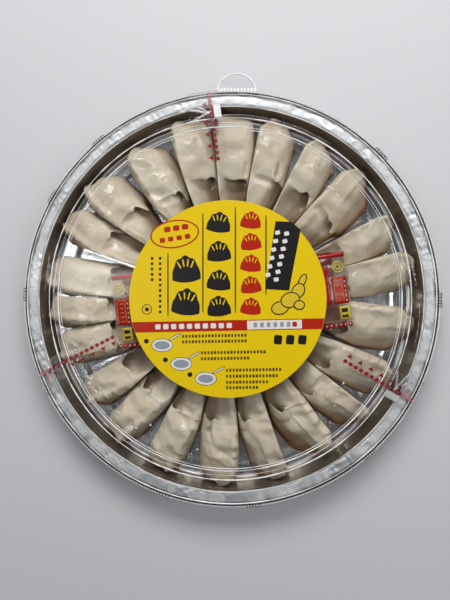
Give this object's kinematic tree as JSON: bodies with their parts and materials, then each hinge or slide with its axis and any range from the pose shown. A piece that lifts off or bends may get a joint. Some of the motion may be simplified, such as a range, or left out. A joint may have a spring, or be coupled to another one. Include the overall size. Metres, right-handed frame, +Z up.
{
  "type": "gyoza dumplings in a lidded foil tray",
  "caption": "Shut chilled pack of pleated gyoza laid as spokes in a round foil tray, with sauce sachets under a clear lid with a round label and three tapes.",
  "frame": {"origin": "centre of the tray's flat underside, on the axis of the round pack", "axes": "+Z up, +Y towards the lid's pull tab, +X to the right as seen from above with the tab away from the viewer"},
  "size_m": [0.2741, 0.2839, 0.0305],
  "materials": {
    "foil": "bright, crinkled foil",
    "clear_plastic": "thin clear plastic, gloss",
    "dough": "raw moist wheat dough, slightly translucent",
    "label_paper": "coated paper, satin",
    "clear_tape": "clear film with red print",
    "sachet_film": "printed film over dark sauce, gloss"
  },
  "bodies": {
    "root": {"tray": "foil", "lid": "clear_plastic", "label": "label_paper", "tape_back": "clear_tape", "tape_left": "clear_tape", "tape_right": "clear_tape", "sachet_left": "sachet_film", "sachet_right": "sachet_film", "gyoza_01": "dough", "gyoza_02": "dough", "gyoza_03": "dough", "gyoza_04": "dough", "gyoza_05": "dough", "gyoza_06": "dough", "gyoza_07": "dough", "gyoza_08": "dough", "gyoza_09": "dough", "gyoza_10": "dough", "gyoza_11": "dough", "gyoza_12": "dough", "gyoza_13": "dough", "gyoza_14": "dough", "gyoza_15": "dough", "gyoza_16": "dough", "gyoza_17": "dough", "gyoza_18": "dough", "gyoza_19": "dough", "gyoza_20": "dough", "gyoza_21": "dough", "gyoza_22": "dough", "gyoza_23": "dough", "gyoza_24": "dough", "gyoza_25": "dough", "gyoza_26": "dough"}
  },
  "joints": []
}
